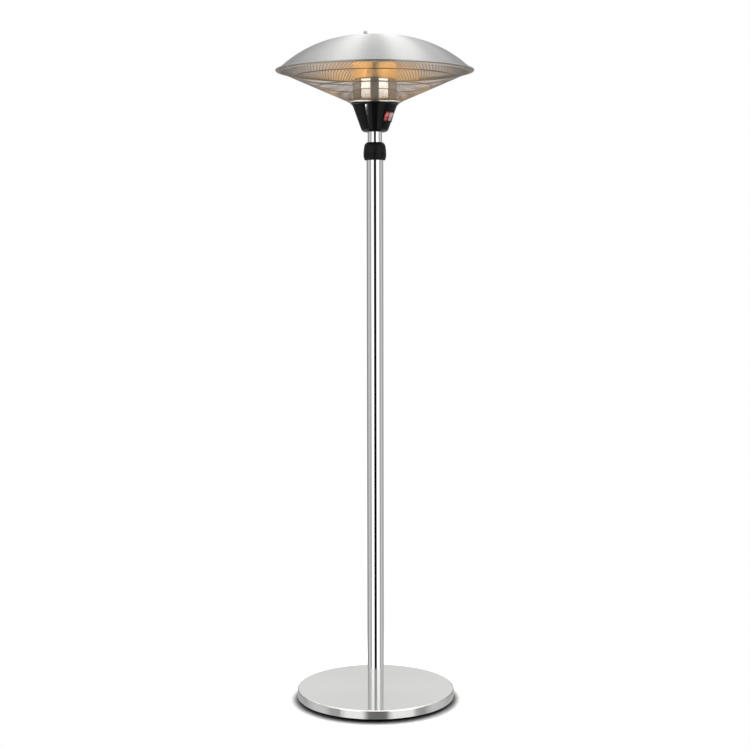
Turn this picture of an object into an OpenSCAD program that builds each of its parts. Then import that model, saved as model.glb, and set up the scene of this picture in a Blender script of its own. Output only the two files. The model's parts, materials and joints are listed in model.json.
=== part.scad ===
// Standing infrared heater: a round weighted base, a telescopic pole with a twist collar,
// a tapered switch housing, a polished column with two ring lamps, a conical mesh guard and a dome.
// Millimetres, +Z up. The origin is on the floor at the pole's axis, and the front faces -Y.

/* [Base] */
// Diameter of the base over its cover
base_d = 480; // [420:5:560]
// Height of the base's top above the floor
base_top_z = 30; // [28:1:40]
// Radius of the cover's upper edge
base_edge_r = 4; // [2:0.5:6]
// Sheet thickness of the base cover
cover_wall = 1.2; // [0.8:0.1:2]
// Width of the lip that is turned in under the base
cover_lip = 9; // [5:1:14]
// Height of the base's underside above the floor
foot_h = 4; // [3:0.5:6]
// Diameter of a rubber foot
foot_d = 30; // [20:1:40]
// Depth of a foot's seat in the base
foot_seat = 1.2; // [0.8:0.1:2]
// Radius on which the feet stand
foot_ring_r = 195; // [150:5:205]
// Number of feet
foot_count = 6; // [3:1:8]
// Thickness of the iron plate in the base
ballast_h = 14; // [13:1:18]
// Diameter of the hub between the plate and the cover
hub_d = 80; // [60:2:120]

/* [Foot bolt] */
// Thread diameter of the bolt that holds the pole
foot_bolt_d = 12; // [10:1:14]
// Width across the flats of its head
foot_bolt_flats = 18; // [17:1:21]
// Height of its head
foot_bolt_head_h = 7.5; // [6:0.5:8]
// Length of thread inside the pole's foot
foot_bolt_reach = 38; // [25:1:44]
// Outer diameter of its washer
foot_washer_d = 28; // [26:1:32]
// Thickness of its washer
foot_washer_t = 2.5; // [2:0.5:3]
// Diameter of the pocket for the bolt's head
foot_pocket_d = 36; // [34:1:42]

/* [Cable inlet] */
// Thread diameter of the cable gland in the base's rear edge
gland_d = 16; // [12:1:18]
// Width across the flats of the gland and its nut
gland_flats = 20; // [19:1:22]
// Diameter of the gland's bore
gland_bore_d = 8; // [6:0.5:9]
// Depth of the cable channel in the hub
channel_h = 8; // [6:0.5:9]
// Diameter of the cable hole beside the foot bolt
cable_hole_d = 8; // [6:0.5:9]

/* [Pole] */
// Diameter of the lower tube
lower_tube_d = 50; // [48:1:55]
// Wall of the lower tube
lower_tube_wall = 1.5; // [1:0.1:2]
// Length of the lower tube
lower_tube_len = 1622; // [1300:1:1800]
// Height of the steel foot inside the lower tube
pole_foot_h = 50; // [46:1:80]
// Diameter of the upper tube
upper_tube_d = 43; // [40:1:44]
// Wall of the upper tube
upper_tube_wall = 1.5; // [1:0.1:2]
// Length of upper tube that shows between the collar and the housing
tube_shows = 30; // [15:1:60]
// How far the head can be raised from here
raise_travel = 140; // [60:5:250]
// Height of the guide bush at the upper tube's lower end
guide_bush_h = 44; // [30:1:80]

/* [Twist collar] */
// Largest diameter of the collar
collar_d = 68.2; // [64:0.2:74]
// How far the fixed sleeve reaches down over the lower tube
sleeve_drop = 14; // [10:1:25]
// Height of the fixed sleeve's grip
sleeve_h = 18; // [14:1:30]
// How far the sleeve's plug reaches down inside the lower tube
sleeve_plug_h = 55; // [30:1:90]
// Number of grip flutes round the fixed sleeve
flute_count = 30; // [16:1:40]
// Depth of a grip flute
flute_depth = 0.6; // [0.3:0.1:0.9]
// Thread diameter under the nut
collar_thread_d = 56; // [54:0.5:58]
// Height of the thread under the nut
collar_thread_h = 19; // [14:1:24]
// Height of the nut
nut_h = 34.7; // [30:0.1:45]
// Width of the slit in the clamping collet
collet_slit = 2.5; // [1.5:0.5:4]

/* [Switch housing] */
// Height of the housing
housing_h = 83.5; // [78:0.5:110]
// Radius of the housing's side where the taper starts at the bottom
housing_low_r = 43.6; // [40:0.2:46]
// Radius of the housing's side just under the flange
housing_high_r = 67.4; // [62:0.2:68]
// Radius of the rounded bottom edge
housing_bottom_r = 14; // [8:0.5:15]
// Wall of the housing
housing_wall = 2.5; // [2:0.1:3.5]
// Radius of the flange at the housing's top
flange_r = 71.2; // [70:0.2:76]
// Thickness of the flange
flange_t = 2; // [1.5:0.5:3]
// Thickness of the lid on the flange
lid_t = 2; // [1.5:0.5:4]
// Height of the lid's spigot under the column
spigot_h = 9.5; // [8:0.5:20]
// Radius of the circle of the lid's screws
lid_screw_ring_r = 52; // [48:1:54]
// Thread diameter of the lid's screws
lid_screw_d = 4; // [3:0.5:5]
// Diameter of the grommet's waist in the lid
grommet_d = 16; // [14:1:20]

/* [Tube socket] */
// Outer diameter of the socket inside the housing
socket_d = 54; // [50:1:56]
// Height of the socket
socket_h = 40; // [30:1:44]
// Radius of the socket's flange
socket_flange_r = 30; // [29:0.5:31]
// Thickness of the socket's flange
socket_flange_t = 4; // [3:0.5:6]
// Diameter of the cross bolt
cross_bolt_d = 6; // [5:0.5:8]
// Diameter of the rivets that hold the socket
rivet_d = 3; // [2.5:0.5:3.5]

/* [Switch] */
// Direction of the switch, from the front towards +X
switch_azimuth = 48; // [0:1:90]
// Height of the switch's middle above the housing's bottom
switch_up = 44; // [42:1:47]
// Width of the opening for both rockers
switch_open_w = 34; // [32:0.5:38]
// Height of the opening for both rockers
switch_open_h = 28; // [24:0.5:30]
// Width of the rim round the opening
switch_rim = 2.5; // [2:0.5:4]
// How far the rim stands off its pad
switch_proud = 1.2; // [1:0.1:3]
// Width of the bar between the rockers
switch_bar = 3; // [2.5:0.5:4]
// Depth of the switch body behind its pad
switch_depth = 19; // [15:0.5:20]
// Tilt of a rocker either side of its middle
rocker_tilt = 9; // [6:1:10]
// Angle of a rocker's two faces
rocker_vee = 10; // [6:1:14]
// Depth of the rockers' pivots behind the pad
rocker_pivot = 4; // [3:0.5:5]

/* [Column and lamps] */
// Diameter of the polished column
column_d = 131.6; // [128:0.4:134]
// Wall of the column
column_wall = 1; // [0.8:0.1:1.5]
// Radius of the ring that the lamps follow
lamp_ring_r = 124; // [110:1:140]
// Diameter of a lamp's quartz tube
lamp_d = 12; // [10:0.5:14]
// Wall of the quartz tube
lamp_wall = 1.2; // [1:0.1:1.5]
// Diameter of the heating coil
coil_d = 4; // [2:0.5:6]
// Height of the lamps above the shade's rim
lamp_rise = 50; // [25:1:58]
// Angle from the holder's middle to the lamp's end
lamp_end_angle = 8; // [7:0.5:12]
// Angle that an end cap covers
lamp_cap_angle = 6.5; // [5:0.5:7]
// Diameter of an end cap
lamp_cap_d = 16; // [14:0.5:18]
// Diameter of a lead with its sleeve
lead_d = 3.2; // [2.4:0.2:4]
// Distance between neighbouring leads
lead_pitch = 6.4; // [5:0.2:8]
// Thread diameter of the two rods from the lid to the dome
rod_d = 6; // [5:0.5:8]
// Sideways offset of a rod from the axis
rod_x = 27; // [20:1:32]
// Offset of a rod from the axis, front to back
rod_y = 40; // [30:1:42]
// Thread diameter of the holders' and clips' screws
holder_screw_d = 3; // [2.5:0.5:3.5]

/* [Dome] */
// Radius of the dome's shell at its rim
dome_rim_r = 289; // [270:1:305]
// Height of the dome above its rim
dome_h = 104; // [90:0.5:120]
// Radius of curvature of the flat crown
crown_radius = 700; // [600:10:900]
// Distance from the axis at which the crown ends
crown_reach = 80; // [60:1:110]
// Sheet thickness of the dome
dome_wall = 1.2; // [0.8:0.1:2]
// Width of the flat lip outside the dome's shell
dome_lip = 6; // [5:0.5:12]
// Radius of the bead along the lip
dome_bead_r = 1.2; // [0.8:0.1:2]
// Height of a cap nut on the dome
cap_nut_h = 11; // [9:0.5:14]
// Diameter of the washer under a cap nut
dome_washer_d = 14; // [12:1:20]
// Thickness of the washer under a cap nut
dome_washer_t = 1.2; // [0.8:0.1:2]

/* [Mesh guard] */
// Radius at which the mesh starts at the neck
guard_neck_r = 76; // [75:0.5:80]
// Slope of the guard's cone above level
guard_slope = 23.4; // [20:0.2:27]
// Distance from the dome's shell in to the mesh's outer edge
guard_inset = 6; // [5:0.5:12]
// Thickness of the mesh
mesh_t = 1.2; // [0.8:0.1:2]
// Width of a strand of the mesh
strand_w = 1.6; // [1.2:0.1:2]
// Number of openings round the mesh
mesh_cells = 56; // [36:2:64]
// Number of half openings along the slope
mesh_rows = 8; // [4:1:9]
// Wall of the channels that hold the mesh's edges
channel_wall = 0.6; // [0.5:0.1:1.2]
// Depth of the channels that hold the mesh's edges
channel_depth = 4.5; // [3:0.5:9]
// Diameter of the wire of the two hoops
hoop_wire_d = 3; // [2:0.5:4]
// Radius of the inner hoop
inner_hoop_r = 175; // [140:5:190]
// Radius of the outer hoop
outer_hoop_r = 240; // [210:5:250]
// Thickness of the neck ring's band on the lid
neck_band_t = 2.5; // [1.5:0.5:4]
// Number of screws through the rim
rim_screw_count = 6; // [4:1:12]
// Thread diameter of the rim's screws
rim_screw_d = 3; // [2.5:0.5:3.5]

/* [Clearances] */
// Gap between pieces that slide or turn on each other
run_gap = 0.3; // [0.2:0.05:0.5]
// Gap in a fixed round fit
fixed_gap = 0.1; // [0.05:0.05:0.2]

/* [Hidden] */
$fn = 96;
fine = 180;
eps = 0.5;

base_r = base_d / 2;
cover_in_z = base_top_z - cover_wall;
ballast_top_z = foot_h + ballast_h;
ballast_r = base_r - cover_wall - run_gap;
foot_pocket_top_z = foot_h + foot_washer_t + foot_bolt_head_h + 0.5;
gland_z = (foot_h + base_top_z) / 2;
gland_hex_l = 5;
gland_cap_l = 9;
gland_nut_l = 4;
gland_in_l = cover_wall + gland_nut_l + 1;
cable_hole_y = foot_bolt_d / 2 + fixed_gap + cable_hole_d / 2 + 3;

lower_r = lower_tube_d / 2;
lower_bore_r = lower_r - lower_tube_wall;
lower_tube_top_z = base_top_z + lower_tube_len;
upper_r = upper_tube_d / 2;
upper_bore_r = upper_r - upper_tube_wall;
mast_bore_r = upper_r + run_gap;

sleeve_z = lower_tube_top_z - sleeve_drop;
sleeve_top_z = sleeve_z + sleeve_h;
sleeve_plug_z = lower_tube_top_z - sleeve_plug_h;
collar_r = collar_d / 2;
thread_r = collar_thread_d / 2;
thread_top_z = sleeve_top_z + collar_thread_h;
collet_seat_h = 12;
collet_low_r = mast_bore_r + 1.9;
collet_high_r = mast_bore_r + 3.4;
collet_head_r = thread_r - 1;
collet_head_h = 3.5;
collet_nose_r = mast_bore_r + 2.4;
collet_nose_h = 7;
nut_z = sleeve_top_z + run_gap;
nut_top_z = sleeve_top_z + nut_h;

housing_z = nut_top_z + tube_shows;
housing_top_z = housing_z + housing_h;
housing_taper_z = housing_z + housing_bottom_r + 2;
flange_z = housing_top_z - flange_t;
housing_slope = atan((housing_high_r - housing_low_r) / (flange_z - housing_taper_z));
lid_top_z = housing_top_z + lid_t;
spigot_top_z = lid_top_z + spigot_h;

socket_z = housing_z + housing_wall;
socket_top_z = socket_z + socket_h;
upper_tube_top_z = socket_top_z - 2;
upper_tube_z = sleeve_plug_z - raise_travel - 1 - guide_bush_h;
cross_bolt_z = socket_z + 24;

column_r = column_d / 2;
column_bore_r = column_r - column_wall;
spigot_r = column_r + 0.5;

mesh_gap = mesh_t / 2 + run_gap;
channel_out = mesh_gap + channel_wall;
channel_back = run_gap + channel_wall;
guard_neck_z = lid_top_z + channel_back * sin(guard_slope) + channel_out * cos(guard_slope) + 1;
guard_end_r = dome_rim_r - guard_inset;
guard_slant = (guard_end_r - guard_neck_r) / cos(guard_slope);
guard_end_z = guard_neck_z + guard_slant * sin(guard_slope);
rim_z = guard_end_z + channel_back * sin(guard_slope) + channel_out * cos(guard_slope);
rim_band_t = 1.2;
rim_screw_r = dome_rim_r + rim_screw_d / 2 + 4 * fixed_gap;

apex_z = rim_z + dome_h;
crown_angle = asin(crown_reach / crown_radius);
crown_end = [crown_reach, apex_z - crown_radius * (1 - cos(crown_angle))];
crown_normal = [sin(crown_angle), cos(crown_angle)];
rim_chord = [dome_rim_r, rim_z] - crown_end;
side_radius = -(rim_chord * rim_chord) / (2 * (rim_chord * crown_normal));
side_centre = crown_end - side_radius * crown_normal;
lip_r = dome_rim_r + dome_lip;
rod_r = norm([rod_x, rod_y]);
lid_screw_l = 14;
lid_screw_low_z = lid_top_z - lid_screw_l;
switch_pad_t = 5;
grommet_flange_d = grommet_d + 4;
grommet_flange_t = 2;

cap_top_z = crown_z(column_r, dome_wall) - 0.2;
cap_plate_t = 2;
column_top_z = cap_top_z - cap_plate_t;
washer_z = crown_z(rod_r - dome_washer_d / 2, 0) + 0.1;
cap_nut_z = washer_z + dome_washer_t;
rod_nut_h = 5;
nut_flats = rod_d + 4;

lamp_z = rim_z + lamp_rise;
lamp_r = lamp_d / 2;
lead_z = lamp_z + 2;
lead_seat = 6;
lead_bend_r = 8;
lead_low_z = housing_top_z - 8;
holder_gap_angle = lamp_end_angle + 3 - lamp_cap_angle;
holder_half_w = lamp_ring_r * sin(holder_gap_angle) - lamp_cap_d / 2 * sin(holder_gap_angle) - 0.3;
holder_in_r = lamp_ring_r - 11;
holder_out_r = lamp_ring_r + 11;
holder_low_z = lamp_z - 9;
holder_h = 18;
holder_screw_x = 6.5;
holder_screw_z = holder_low_z - 6;
shoe_out_r = column_r + fixed_gap + 1.6;

// Height of the crown's surface at a distance from the axis, or of its inside when depth is the sheet
function crown_z(r, depth) = apex_z - crown_radius + sqrt(pow(crown_radius - depth, 2) - r * r);

// Radius of the housing's taper at a height
function housing_r(z) = housing_low_r + (z - housing_taper_z) * tan(housing_slope);

// Right half of a disc's section, with its upper edge rounded
module disc_section(r, z0, z1, edge) {
    translate([0, z0]) square([r - edge, z1 - z0]);
    translate([0, z0]) square([r, z1 - z0 - edge]);
    translate([r - edge, z1 - edge]) circle(edge);
}

// Ring of rectangular section
module ring(r_in, r_out, z0, z1) {
    translate([0, 0, z0]) difference() {
        cylinder(r = r_out, h = z1 - z0);
        translate([0, 0, -eps]) cylinder(r = r_in, h = z1 - z0 + 2 * eps);
    }
}

// Hexagonal prism by its width across the flats
module hexagon(flats, h) {
    cylinder(d = flats / cos(30), h = h, $fn = 6);
}

// Block with rounded upright edges, centred on its axis
module rounded_block(w, d, h, r) {
    for (s = [0, 1])
        translate([-w / 2 + s * r, -d / 2 + (1 - s) * r, 0]) cube([w - 2 * s * r, d - 2 * (1 - s) * r, h]);
    for (x = [-1, 1], y = [-1, 1])
        translate([x * (w / 2 - r), y * (d / 2 - r), 0]) cylinder(r = r, h = h, $fn = 32);
}

// Both places of a pair that faces to the front and to the back
module front_and_back() {
    for (turn = [0, 180]) rotate(turn) children();
}

// Both rods' places
module at_rods(z) {
    front_and_back() translate([-rod_x, -rod_y, z]) children();
}

// The lid screws' places, clear of the switch
module at_lid_screws(z) {
    for (turn = [60, 180, 300])
        rotate(switch_azimuth - 90 + turn) translate([lid_screw_ring_r, 0, z]) children();
}

// The four leads' places at the column's axis
module at_leads(z) {
    for (x = [-1, 1], y = [-1, 1])
        translate([x * lead_pitch / 2, y * lead_pitch / 2, z]) children();
}

// Frame of the switch: x to the right and y up along the housing's side, z outwards
module at_switch() {
    z = housing_z + switch_up;
    rotate(switch_azimuth)
        translate([0, -housing_r(z), z])
            rotate([90 + housing_slope, 0, 0]) children();
}

// Section frame of the guard: x along the slope from the neck, y square to the mesh and upwards
module on_guard() {
    translate([guard_neck_r, guard_neck_z]) rotate(guard_slope) children();
}

module base_cover() {
    color("gainsboro")
    difference() {
        rotate_extrude($fn = fine) difference() {
            disc_section(base_r, foot_h, base_top_z, base_edge_r);
            disc_section(base_r - cover_wall, foot_h + cover_wall, cover_in_z, base_edge_r - cover_wall);
            translate([0, foot_h - eps]) square([base_r - cover_lip, cover_wall + 2 * eps]);
        }
        translate([0, 0, cover_in_z - eps]) cylinder(d = foot_bolt_d + 1, h = cover_wall + 2 * eps);
        translate([0, cable_hole_y, cover_in_z - eps])
            cylinder(d = cable_hole_d, h = cover_wall + 2 * eps);
        translate([0, base_r - 3 * cover_wall, gland_z]) rotate([-90, 0, 0])
            cylinder(d = gland_d + 2 * run_gap, h = 6 * cover_wall);
    }
}

module base_ballast() {
    notch_w = gland_flats * 1.5;
    color("dimgray")
    difference() {
        rotate_extrude($fn = fine) difference() {
            translate([0, foot_h]) square([ballast_r, ballast_h]);
            translate([base_r - cover_lip - run_gap, foot_h - eps])
                square([cover_lip + 2, cover_wall + run_gap + eps]);
        }
        translate([0, 0, foot_h - eps]) cylinder(d = foot_bolt_d + 1, h = ballast_h + 2 * eps);
        translate([0, 0, foot_h - eps]) cylinder(d = foot_pocket_d, h = foot_pocket_top_z - foot_h + eps);
        translate([-notch_w / 2, base_r - gland_in_l - 3, foot_h + cover_wall + run_gap])
            cube([notch_w, base_r, ballast_h]);
        for (i = [0 : foot_count - 1])
            rotate((i + 0.5) * 360 / foot_count)
                translate([foot_ring_r, 0, foot_h - eps])
                    cylinder(d = foot_d + 2 * run_gap, h = foot_seat + eps);
    }
}

module base_hub() {
    color("gray")
    difference() {
        translate([0, 0, ballast_top_z]) cylinder(d = hub_d, h = cover_in_z - ballast_top_z);
        translate([0, 0, ballast_top_z - eps]) cylinder(d = foot_bolt_d + 1, h = base_top_z);
        translate([-cable_hole_d / 2, cable_hole_y, cover_in_z - channel_h])
            cube([cable_hole_d, hub_d, channel_h + eps]);
        translate([0, cable_hole_y, cover_in_z - channel_h]) cylinder(d = cable_hole_d, h = channel_h + eps);
    }
}

module rubber_feet() {
    color("black")
    for (i = [0 : foot_count - 1])
        rotate((i + 0.5) * 360 / foot_count)
            translate([foot_ring_r, 0, 0]) {
                cylinder(d1 = foot_d - 4, d2 = foot_d, h = foot_h - 1);
                translate([0, 0, foot_h - 1]) cylinder(d = foot_d, h = foot_seat + 1);
            }
}

module foot_bolt() {
    color("silver")
    translate([0, 0, foot_pocket_top_z - foot_washer_t - foot_bolt_head_h]) {
        hexagon(foot_bolt_flats, foot_bolt_head_h);
        cylinder(d = foot_bolt_d, h = foot_bolt_head_h + foot_washer_t + base_top_z - foot_pocket_top_z
            + foot_bolt_reach);
    }
}

module foot_washer() {
    color("silver")
    ring(foot_bolt_d / 2 + run_gap, foot_washer_d / 2, foot_pocket_top_z - foot_washer_t, foot_pocket_top_z);
}

module pole_foot() {
    color("gray")
    difference() {
        translate([0, 0, base_top_z]) cylinder(r = lower_bore_r - fixed_gap, h = pole_foot_h);
        translate([0, 0, base_top_z - eps])
            cylinder(d = foot_bolt_d + 2 * fixed_gap, h = foot_bolt_reach + 2 + eps);
        translate([0, cable_hole_y, base_top_z - eps]) cylinder(d = cable_hole_d, h = pole_foot_h + 2 * eps);
    }
}

module cable_gland() {
    color("black")
    translate([0, base_r, gland_z]) rotate([-90, 0, 0]) difference() {
        union() {
            translate([0, 0, -gland_in_l]) cylinder(d = gland_d, h = gland_in_l + 1);
            hexagon(gland_flats, gland_hex_l);
            cylinder(d = gland_flats - 2, h = gland_hex_l + gland_cap_l - 3);
            translate([0, 0, gland_hex_l + gland_cap_l - 3])
                cylinder(d1 = gland_flats - 2, d2 = gland_bore_d + 4, h = 3);
        }
        translate([0, 0, -gland_in_l - eps])
            cylinder(d = gland_bore_d, h = gland_in_l + gland_hex_l + gland_cap_l + 2 * eps);
    }
}

module gland_nut() {
    color("black")
    translate([0, base_r - cover_wall - 0.4, gland_z]) rotate([90, 0, 0]) difference() {
        hexagon(gland_flats, gland_nut_l);
        translate([0, 0, -eps]) cylinder(d = gland_d + 2 * fixed_gap, h = gland_nut_l + 2 * eps);
    }
}

module lower_tube() {
    color("silver")
    ring(lower_bore_r, lower_r, base_top_z, lower_tube_top_z);
}

module collar_sleeve() {
    grip_r = collar_r;
    color([0.12, 0.12, 0.12])
    difference() {
        rotate_extrude() difference() {
            union() {
                polygon([
                    [0, sleeve_z], [grip_r - 2.9, sleeve_z], [grip_r - 2.6, sleeve_z + 3],
                    [grip_r - 0.6, sleeve_z + 8], [grip_r - 0.1, sleeve_z + 12], [grip_r, sleeve_top_z - 0.6],
                    [grip_r - 0.6, sleeve_top_z], [0, sleeve_top_z]
                ]);
                translate([0, sleeve_plug_z])
                    square([lower_bore_r - fixed_gap, lower_tube_top_z - sleeve_plug_z + eps]);
                translate([0, sleeve_top_z - eps]) square([thread_r, collar_thread_h + eps]);
            }
            translate([lower_bore_r - fixed_gap, sleeve_z - eps])
                square([lower_tube_wall + 2 * fixed_gap, sleeve_drop + eps]);
            translate([0, sleeve_plug_z - eps]) square([mast_bore_r, thread_top_z - sleeve_plug_z + 2 * eps]);
            polygon([
                [0, thread_top_z - collet_seat_h], [collet_low_r, thread_top_z - collet_seat_h],
                [collet_high_r, thread_top_z], [collet_high_r, thread_top_z + eps], [0, thread_top_z + eps]
            ]);
        }
        for (i = [0 : flute_count - 1])
            rotate(i * 360 / flute_count)
                translate([collar_r + 1.5 - flute_depth, 0, sleeve_z + 6])
                    cylinder(r = 1.5, h = sleeve_h - 8, $fn = 24);
    }
}

module clamp_collet() {
    seat_z = thread_top_z - collet_seat_h + run_gap;
    head_z = thread_top_z + run_gap;
    color("ivory")
    difference() {
        rotate_extrude() polygon([
            [mast_bore_r, seat_z], [collet_low_r - run_gap, seat_z], [collet_high_r - run_gap, thread_top_z],
            [collet_high_r - run_gap, head_z], [collet_head_r, head_z],
            [collet_head_r, head_z + collet_head_h], [collet_nose_r, head_z + collet_head_h + collet_nose_h],
            [mast_bore_r, head_z + collet_head_h + collet_nose_h]
        ]);
        translate([-collet_slit / 2, 0, seat_z - eps])
            cube([collet_slit, thread_r + 5, collet_seat_h + collet_head_h + collet_nose_h + 2]);
    }
}

module collar_nut() {
    head_z = thread_top_z + run_gap + collet_head_h;
    color([0.1, 0.1, 0.1])
    rotate_extrude() difference() {
        polygon([
            [0, nut_z], [collar_r - 0.6, nut_z], [collar_r, nut_z + 0.6], [collar_r - 0.1, nut_top_z - 31],
            [collar_r - 0.6, nut_top_z - 24], [collar_r - 1.2, nut_top_z - 18], [collar_r - 2, nut_top_z - 13],
            [collar_r - 2.8, nut_top_z - 9], [collar_r - 4.2, nut_top_z - 6], [collar_r - 6, nut_top_z - 3.6],
            [collar_r - 8, nut_top_z - 1.6], [collar_r - 9.9, nut_top_z - 0.3], [collar_r - 10.6, nut_top_z],
            [0, nut_top_z]
        ]);
        translate([0, nut_z - eps]) square([thread_r + run_gap, head_z - nut_z + eps]);
        polygon([
            [0, head_z - eps], [collet_head_r + run_gap, head_z - eps], [collet_head_r + run_gap, head_z],
            [collet_nose_r + run_gap, head_z + collet_nose_h],
            [collet_nose_r + run_gap, head_z + collet_nose_h + run_gap], [0, head_z + collet_nose_h + run_gap]
        ]);
        translate([0, nut_z - eps]) square([mast_bore_r + fixed_gap, nut_h + 2 * eps]);
    }
}

module upper_tube() {
    color("silver")
    difference() {
        ring(upper_bore_r, upper_r, upper_tube_z, upper_tube_top_z);
        rotate(switch_azimuth) translate([-upper_tube_d, 0, cross_bolt_z]) rotate([0, 90, 0])
            cylinder(d = cross_bolt_d + 2 * fixed_gap, h = 2 * upper_tube_d);
    }
}

module guide_bush() {
    color("white")
    rotate_extrude() difference() {
        translate([upper_bore_r, upper_tube_z - 3])
            square([lower_bore_r - run_gap - upper_bore_r, guide_bush_h + 3]);
        translate([0, upper_tube_z]) square([upper_r + fixed_gap, guide_bush_h + eps]);
    }
}

module tube_socket() {
    color("darkgray")
    difference() {
        union() {
            // the flange's lower edge is stepped to clear the housing's rounded corner
            ring(upper_r + fixed_gap, socket_flange_r - 2, socket_z, socket_z + socket_flange_t);
            ring(upper_r + fixed_gap, socket_flange_r, socket_z + 0.5, socket_z + socket_flange_t);
            ring(upper_r + fixed_gap, socket_d / 2, socket_z, socket_top_z);
        }
        rotate(switch_azimuth) translate([-socket_d, 0, cross_bolt_z]) rotate([0, 90, 0])
            cylinder(d = cross_bolt_d + 2 * fixed_gap, h = 2 * socket_d);
        at_rivets(socket_z - eps) cylinder(d = rivet_d + 2 * fixed_gap, h = socket_flange_t + 2 * eps);
        at_rivets(socket_z + socket_flange_t) cylinder(d = rivet_d + 2 + 2 * run_gap, h = socket_h);
    }
}

// The rivets' places, through the socket's flange and the housing's bottom
module at_rivets(z) {
    for (turn = [30, 150, 270]) rotate(turn) translate([socket_flange_r - 3.2, 0, z]) children();
}

module socket_rivets() {
    color("silver")
    at_rivets(housing_z) {
        cylinder(d = rivet_d, h = housing_wall + socket_flange_t);
        translate([0, 0, housing_wall + socket_flange_t])
            cylinder(d1 = rivet_d + 2, d2 = rivet_d + 0.6, h = 1.4);
    }
}

module cross_bolt() {
    head_h = 4;
    color("silver")
    rotate(switch_azimuth) translate([-socket_d / 2 - head_h, 0, cross_bolt_z]) rotate([0, 90, 0]) {
        hexagon(cross_bolt_d + 4, head_h);
        cylinder(d = cross_bolt_d, h = socket_d + 2 * head_h);
        translate([0, 0, socket_d + head_h]) hexagon(cross_bolt_d + 4, head_h);
    }
}

// Section of the housing's solid, drawn in by a depth for its inside
module housing_section(depth) {
    slope_shift = depth / cos(housing_slope);
    bottom_z = housing_z + depth;
    edge = housing_bottom_r - depth;
    // centre of the bottom's rounding, where it is tangent to the bottom and to the taper
    cz = housing_z + housing_bottom_r;
    cr = housing_r(cz) - housing_bottom_r / cos(housing_slope);
    tangent = [cr + edge * cos(housing_slope), cz - edge * sin(housing_slope)];
    high = [housing_r(flange_z) - slope_shift, flange_z];
    polygon([[0, bottom_z], [cr, bottom_z], [cr, cz], tangent, high, [0, flange_z]]);
    intersection() {
        translate([cr, cz]) circle(edge);
        translate([cr, bottom_z]) square([edge + 1, tangent[1] - bottom_z + 0.01]);
    }
}

module housing_shell() {
    boss_h = 2 * lid_screw_l;
    boss_r = lid_screw_d / 2 + 3;
    pad_w = switch_open_w + 2 * switch_rim + 1;
    pad_h = switch_open_h + 2 * switch_rim + 1;
    color([0.06, 0.06, 0.07])
    difference() {
        union() {
            rotate_extrude() union() {
                housing_section(0);
                polygon([
                    [0, flange_z - 0.01], [housing_high_r, flange_z - 4], [flange_r - 3.4, flange_z - 1.4],
                    [flange_r - 0.5, flange_z], [flange_r, flange_z + 0.5], [flange_r, housing_top_z],
                    [0, housing_top_z]
                ]);
            }
            at_switch() translate([0, 0, -switch_pad_t - 2]) rounded_block(pad_w, pad_h, switch_pad_t + 2, 3);
        }
        difference() {
            rotate_extrude() union() {
                housing_section(housing_wall);
                translate([0, flange_z - eps])
                    square([housing_r(flange_z) - housing_wall / cos(housing_slope), flange_t + 2 * eps]);
            }
            at_lid_screws(housing_top_z - boss_h) cylinder(r = boss_r, h = boss_h);
            at_switch() translate([0, 0, -switch_pad_t]) rounded_block(pad_w, pad_h, switch_pad_t, 3);
        }
        translate([0, 0, housing_z - eps]) cylinder(r = upper_r + run_gap, h = housing_wall + 2 * eps);
        at_rivets(housing_z - eps) cylinder(d = rivet_d + 2 * fixed_gap, h = housing_wall + 2 * eps);
        at_lid_screws(lid_screw_low_z - 2) cylinder(d = lid_screw_d + 2 * fixed_gap, h = lid_screw_l + eps);
        at_switch() translate([-switch_hole_w() / 2, -switch_hole_h() / 2, -switch_depth])
            cube([switch_hole_w(), switch_hole_h(), 2 * switch_depth]);
    }
}

// The hole in the housing for the switch's body
function switch_hole_w() = switch_open_w + 2 + 2 * run_gap;
function switch_hole_h() = switch_open_h + 2 + 2 * run_gap;

module housing_lid() {
    color([0.07, 0.07, 0.08])
    difference() {
        rotate_extrude() union() {
            translate([0, housing_top_z]) square([flange_r, lid_t]);
            translate([column_bore_r - 5, lid_top_z - eps])
                square([spigot_r - column_bore_r + 5, spigot_h + eps]);
            translate([column_bore_r - 5, spigot_top_z - eps]) square([5 - fixed_gap, spigot_h]);
        }
        translate([0, 0, housing_top_z - eps]) cylinder(d = grommet_d + 2 * fixed_gap, h = lid_t + 2 * eps);
        at_rods(housing_top_z - eps) cylinder(d = rod_d + 2 * run_gap, h = lid_t + 2 * eps);
        at_lid_screws(housing_top_z - eps) cylinder(d = lid_screw_d + 2 * run_gap, h = lid_t + 2 * eps);
    }
}

module lid_screws() {
    color("silver")
    at_lid_screws(lid_screw_low_z) {
        cylinder(d = lid_screw_d, h = lid_screw_l);
        translate([0, 0, lid_screw_l]) cylinder(d1 = lid_screw_d + 3, d2 = lid_screw_d + 1, h = 2.4);
    }
}

module switch_frame() {
    outer_w = switch_open_w + 2 * switch_rim;
    outer_h = switch_open_h + 2 * switch_rim;
    color([0.05, 0.05, 0.05])
    at_switch() difference() {
        union() {
            rounded_block(outer_w, outer_h, switch_proud, 2.5);
            translate([-switch_open_w / 2 - 1, -switch_open_h / 2 - 1, -switch_depth])
                cube([switch_open_w + 2, switch_open_h + 2, switch_depth + eps]);
        }
        for (side = [-1, 1])
            translate([side * rocker_pitch() / 2 - rocker_bay() / 2, -switch_open_h / 2, -switch_depth + 6])
                cube([rocker_bay(), switch_open_h, switch_depth + switch_proud]);
        for (side = [-1, 1])
            translate([side * rocker_pitch() / 2 - rocker_bay() / 2 - 1, 0, -rocker_pivot])
                rotate([0, 90, 0]) cylinder(r = 1.5 + run_gap, h = rocker_bay() + 2, $fn = 32);
    }
}

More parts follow.
